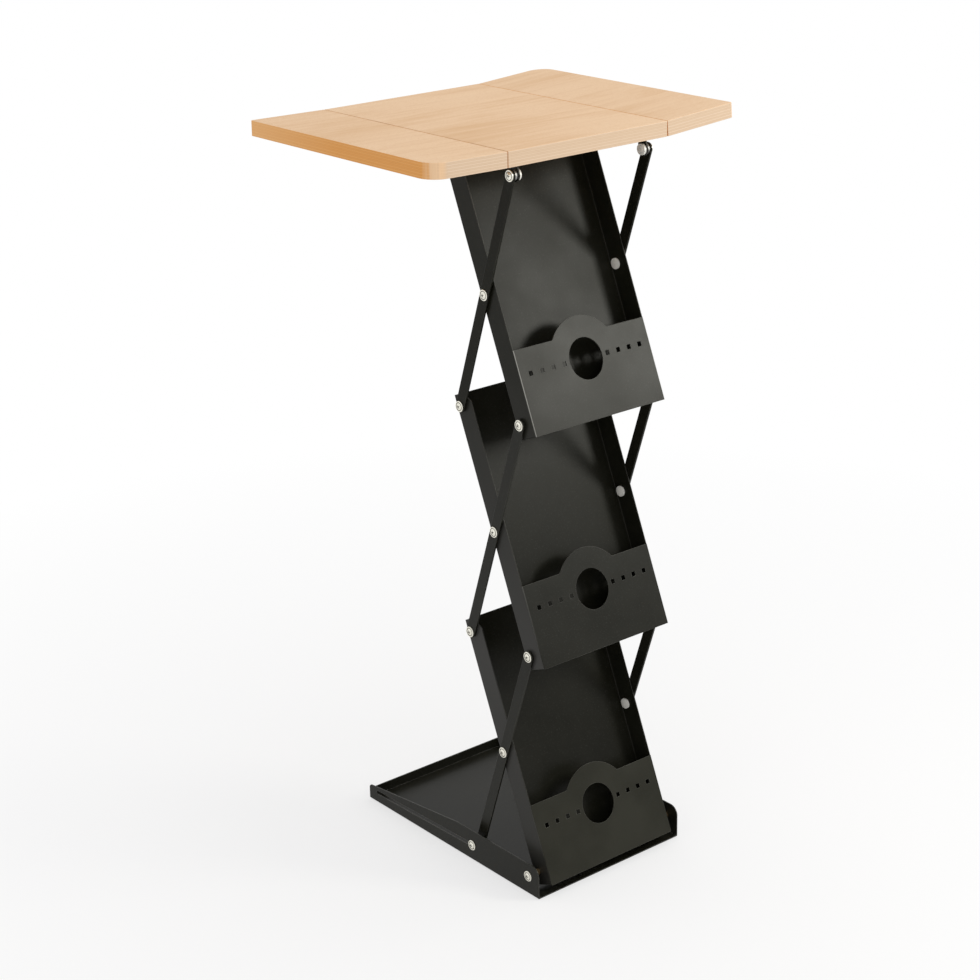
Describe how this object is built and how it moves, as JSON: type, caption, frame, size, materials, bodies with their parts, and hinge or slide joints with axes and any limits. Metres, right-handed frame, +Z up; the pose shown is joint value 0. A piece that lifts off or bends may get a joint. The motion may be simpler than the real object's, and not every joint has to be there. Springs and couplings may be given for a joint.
{
  "type": "folding literature rack",
  "caption": "Free-standing folding literature rack: leaning pocket trays on crossed flat bars, between a low base pan and a hinged plywood counter.",
  "frame": {"origin": "on the floor, under the middle of the opened rack's overall box", "axes": "+X to the right seen from the front, -Y the front, +Z up"},
  "size_m": [0.5134, 0.4322, 1.055],
  "materials": {
    "black_steel": "satin black powder coat",
    "bright_steel": "nickel plated, satin",
    "brass": "plain turned brass",
    "plywood": "clear satin lacquer on light beech plywood",
    "washer_nylon": "black nylon",
    "foot_rubber": "matte"
  },
  "bodies": {
    "base": {"base_pan": "black_steel", "base_feet": "foot_rubber", "base_hinge_screws": "bright_steel", "base_hinge_bushes": "brass", "base_hinge_cap_nuts": "bright_steel"},
    "tray_1": {"tray_1_shell": "black_steel", "tray_1_pocket_front": "black_steel", "tray_1_pivot_screws": "bright_steel", "tray_1_cap_nuts": "bright_steel", "tray_1_washers": "washer_nylon"},
    "link_1": {"bar_1_left": "black_steel", "bar_1_right": "black_steel", "slot_pins": "bright_steel", "slot_pin_spacers": "washer_nylon", "slot_pin_cap_nuts": "bright_steel"},
    "tray_2": {"tray_2_shell": "black_steel", "tray_2_pocket_front": "black_steel", "tray_2_pivot_screws": "bright_steel", "tray_2_cap_nuts": "bright_steel", "tray_2_washers": "washer_nylon"},
    "link_2": {"bar_2_left": "black_steel", "bar_2_right": "black_steel"},
    "tray_3": {"tray_3_shell": "black_steel", "tray_3_pocket_front": "black_steel", "tray_3_pivot_screws": "bright_steel", "tray_3_cap_nuts": "bright_steel", "tray_3_washers": "washer_nylon", "slide_pins": "bright_steel", "slide_pin_sleeves": "bright_steel", "slide_pin_cap_nuts": "bright_steel"},
    "link_3": {"bar_3_left": "black_steel", "bar_3_right": "black_steel"},
    "counter": {"counter_centre": "plywood", "centre_hinge_barrels": "brass", "left_ear": "black_steel", "right_ear": "black_steel", "ear_screws": "bright_steel", "ear_spacers": "bright_steel", "ear_cap_nuts": "bright_steel", "left_slide_rail": "black_steel", "right_slide_rail": "black_steel", "bracket_wood_screws": "bright_steel"},
    "left_leaf": {"counter_left_leaf": "plywood", "left_leaf_hinge_barrels": "brass"},
    "right_leaf": {"counter_right_leaf": "plywood", "right_leaf_hinge_barrels": "brass"}
  },
  "joints": [
    {"name": "fold", "type": "hinge", "parent": "base", "child": "tray_1", "pos_m": [0, -0.18674, 0.029], "axis": [-1, 0, 0], "range_deg": [0, 63.3]},
    {"name": "link_1_fold", "type": "hinge", "parent": "tray_1", "child": "link_1", "pos_m": [0, -0.11977, 0.19068], "axis": [1, 0, 0], "range_deg": [0, 126.6]},
    {"name": "tray_2_fold", "type": "hinge", "parent": "link_1", "child": "tray_2", "pos_m": [0, -0.17646, 0.35624], "axis": [-1, 0, 0], "range_deg": [0, 126.6]},
    {"name": "link_2_fold", "type": "hinge", "parent": "tray_2", "child": "link_2", "pos_m": [0, -0.10949, 0.51792], "axis": [1, 0, 0], "range_deg": [0, 126.6]},
    {"name": "tray_3_fold", "type": "hinge", "parent": "link_2", "child": "tray_3", "pos_m": [0, -0.16618, 0.68349], "axis": [-1, 0, 0], "range_deg": [0, 126.6]},
    {"name": "link_3_fold", "type": "hinge", "parent": "tray_3", "child": "link_3", "pos_m": [0, -0.09921, 0.84517], "axis": [1, 0, 0], "range_deg": [0, 126.6]},
    {"name": "counter_fold", "type": "hinge", "parent": "link_3", "child": "counter", "pos_m": [0, -0.15589, 1.01073], "axis": [-1, 0, 0], "range_deg": [0, 63.3]},
    {"name": "left_leaf_hinge", "type": "hinge", "parent": "counter", "child": "left_leaf", "pos_m": [-0.136, 0.02111, 1.04708], "axis": [0, 1, 0], "range_deg": [-1, 179]},
    {"name": "right_leaf_hinge", "type": "hinge", "parent": "counter", "child": "right_leaf", "pos_m": [0.136, 0.02111, 1.04708], "axis": [0, -1, 0], "range_deg": [-4, 176]}
  ],
  "couplings": [
    {"joint": "link_1_fold", "follows": "fold", "ratio": 2},
    {"joint": "tray_2_fold", "follows": "fold", "ratio": 2},
    {"joint": "link_2_fold", "follows": "fold", "ratio": 2},
    {"joint": "tray_3_fold", "follows": "fold", "ratio": 2},
    {"joint": "link_3_fold", "follows": "fold", "ratio": 2},
    {"joint": "counter_fold", "follows": "fold", "ratio": 1}
  ]
}
